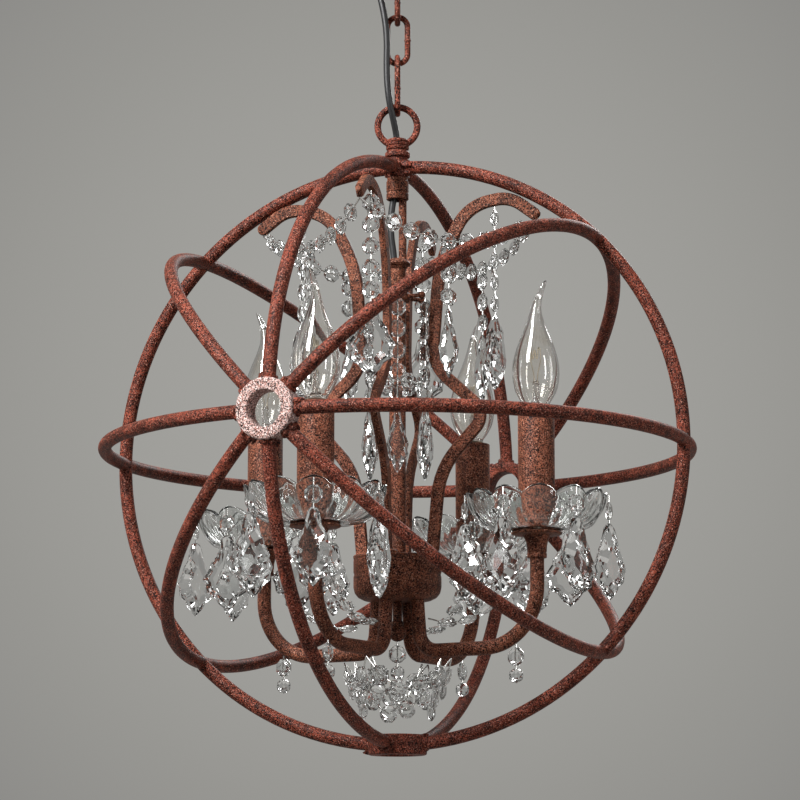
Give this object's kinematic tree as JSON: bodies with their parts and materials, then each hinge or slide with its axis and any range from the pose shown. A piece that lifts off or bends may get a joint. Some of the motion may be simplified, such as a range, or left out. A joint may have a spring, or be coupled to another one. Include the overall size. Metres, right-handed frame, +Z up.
{
  "type": "orb chandelier",
  "caption": "Hanging cage of round iron rings with a candle chandelier inside, hung with cut crystal drops, on a short chain from a ceiling cup.",
  "frame": {"origin": "middle of the two ceiling screws, in the plane of the ceiling", "axes": "+Z up, so the light hangs below zero; -Y is the front of the light as pictured"},
  "size_m": [0.45, 0.45, 0.6496],
  "materials": {
    "rusty_iron": "dark brown paint mottled with rust, pink-grey and orange specks",
    "zinc_steel": "plain zinc",
    "black_rubber": "matte",
    "white_plastic": "matte",
    "cut_crystal": "clear, cut with flat facets",
    "pressed_glass": "clear pressed glass with a fan of ribs",
    "bulb_glass": "clear blown glass"
  },
  "bodies": {
    "ceiling_mount": {"ceiling_strap": "zinc_steel", "canopy": "rusty_iron", "canopy_loop": "rusty_iron", "canopy_loop_nut": "zinc_steel", "cable_bush": "black_rubber", "supply_cable": "black_rubber"},
    "chain_link_1": {"chain_link_1": "rusty_iron"},
    "chain_link_2": {"chain_link_2": "rusty_iron"},
    "chain_link_3": {"chain_link_3": "rusty_iron"},
    "orb": {"top_loop": "rusty_iron", "loop_collar": "rusty_iron", "top_hub": "rusty_iron", "cage_hubs": "rusty_iron", "upright_ring": "rusty_iron", "cross_ring": "rusty_iron", "equator_ring": "rusty_iron", "diagonal_ring_a": "rusty_iron", "diagonal_ring_b": "rusty_iron", "hanger_coupling": "rusty_iron", "hanger_rod": "rusty_iron", "inner_cable": "black_rubber", "column_cap": "rusty_iron", "column": "rusty_iron", "crystal_spider": "rusty_iron", "bowl_lid": "rusty_iron", "bowl": "rusty_iron", "bowl_finial": "rusty_iron", "scroll_arm_1": "rusty_iron", "scroll_arm_2": "rusty_iron", "scroll_arm_3": "rusty_iron", "scroll_arm_4": "rusty_iron", "candle_arm_1": "rusty_iron", "candle_arm_2": "rusty_iron", "candle_arm_3": "rusty_iron", "candle_arm_4": "rusty_iron", "drip_pans": "rusty_iron", "candle_sleeves": "rusty_iron", "lampholders": "white_plastic", "terminal_block": "white_plastic", "lamp_leads": "black_rubber", "crystal_swags": "cut_crystal", "column_crystals": "cut_crystal", "arm_garlands": "cut_crystal", "bottom_crystals": "cut_crystal"},
    "dish_1": {"glass_dish_1": "pressed_glass", "dish_drops_1": "cut_crystal"},
    "dish_2": {"glass_dish_2": "pressed_glass", "dish_drops_2": "cut_crystal"},
    "dish_3": {"glass_dish_3": "pressed_glass", "dish_drops_3": "cut_crystal"},
    "dish_4": {"glass_dish_4": "pressed_glass", "dish_drops_4": "cut_crystal"},
    "bulb_1": {"bulb_1": "bulb_glass"},
    "bulb_2": {"bulb_2": "bulb_glass"},
    "bulb_3": {"bulb_3": "bulb_glass"},
    "bulb_4": {"bulb_4": "bulb_glass"},
    "strand_1": {"crystal_strand_1": "cut_crystal"},
    "strand_2": {"crystal_strand_2": "cut_crystal"},
    "strand_3": {"crystal_strand_3": "cut_crystal"},
    "strand_4": {"crystal_strand_4": "cut_crystal"}
  },
  "joints": [
    {"name": "link_1_swing", "type": "hinge", "parent": "ceiling_mount", "child": "chain_link_1", "pos_m": [0, 0, -0.0555], "axis": [1, 0, 0], "range_deg": [-25, 25]},
    {"name": "link_2_swing", "type": "hinge", "parent": "chain_link_1", "child": "chain_link_2", "pos_m": [0, 0, -0.08745], "axis": [0, 1, 0], "range_deg": [-25, 25]},
    {"name": "link_3_swing", "type": "hinge", "parent": "chain_link_2", "child": "chain_link_3", "pos_m": [0, 0, -0.11965], "axis": [1, 0, 0], "range_deg": [-25, 25]},
    {"name": "orb_swing", "type": "hinge", "parent": "chain_link_3", "child": "orb", "pos_m": [0, 0, -0.15935], "axis": [0, 1, 0], "range_deg": [-22, 22], "deforming": ["supply_cable"]},
    {"name": "dish_1_turn", "type": "hinge", "parent": "orb", "child": "dish_1", "pos_m": [0.10219, -0.059, -0.4901], "axis": [0, 0, 1], "continuous": true},
    {"name": "dish_2_turn", "type": "hinge", "parent": "orb", "child": "dish_2", "pos_m": [0.059, 0.10219, -0.4901], "axis": [0, 0, 1], "continuous": true},
    {"name": "dish_3_turn", "type": "hinge", "parent": "orb", "child": "dish_3", "pos_m": [-0.10219, 0.059, -0.4901], "axis": [0, 0, 1], "continuous": true},
    {"name": "dish_4_turn", "type": "hinge", "parent": "orb", "child": "dish_4", "pos_m": [-0.059, -0.10219, -0.4901], "axis": [0, 0, 1], "continuous": true},
    {"name": "bulb_1_screw", "type": "hinge", "parent": "orb", "child": "bulb_1", "pos_m": [0.10219, -0.059, -0.4081], "axis": [0, 0, 1], "continuous": true},
    {"name": "bulb_2_screw", "type": "hinge", "parent": "orb", "child": "bulb_2", "pos_m": [0.059, 0.10219, -0.4081], "axis": [0, 0, 1], "continuous": true},
    {"name": "bulb_3_screw", "type": "hinge", "parent": "orb", "child": "bulb_3", "pos_m": [-0.10219, 0.059, -0.4081], "axis": [0, 0, 1], "continuous": true},
    {"name": "bulb_4_screw", "type": "hinge", "parent": "orb", "child": "bulb_4", "pos_m": [-0.059, -0.10219, -0.4081], "axis": [0, 0, 1], "continuous": true},
    {"name": "strand_1_swing", "type": "hinge", "parent": "orb", "child": "strand_1", "pos_m": [0.07341, -0.01967, -0.2369], "axis": [0.2588, 0.9659, 0], "range_deg": [-4, 4]},
    {"name": "strand_2_swing", "type": "hinge", "parent": "orb", "child": "strand_2", "pos_m": [0.01967, 0.07341, -0.2369], "axis": [-0.9659, 0.2588, 0], "range_deg": [-4, 4]},
    {"name": "strand_3_swing", "type": "hinge", "parent": "orb", "child": "strand_3", "pos_m": [-0.07341, 0.01967, -0.2369], "axis": [-0.2588, -0.9659, 0], "range_deg": [-4, 4]},
    {"name": "strand_4_swing", "type": "hinge", "parent": "orb", "child": "strand_4", "pos_m": [-0.01967, -0.07341, -0.2369], "axis": [0.9659, -0.2588, 0], "range_deg": [-4, 4]}
  ]
}
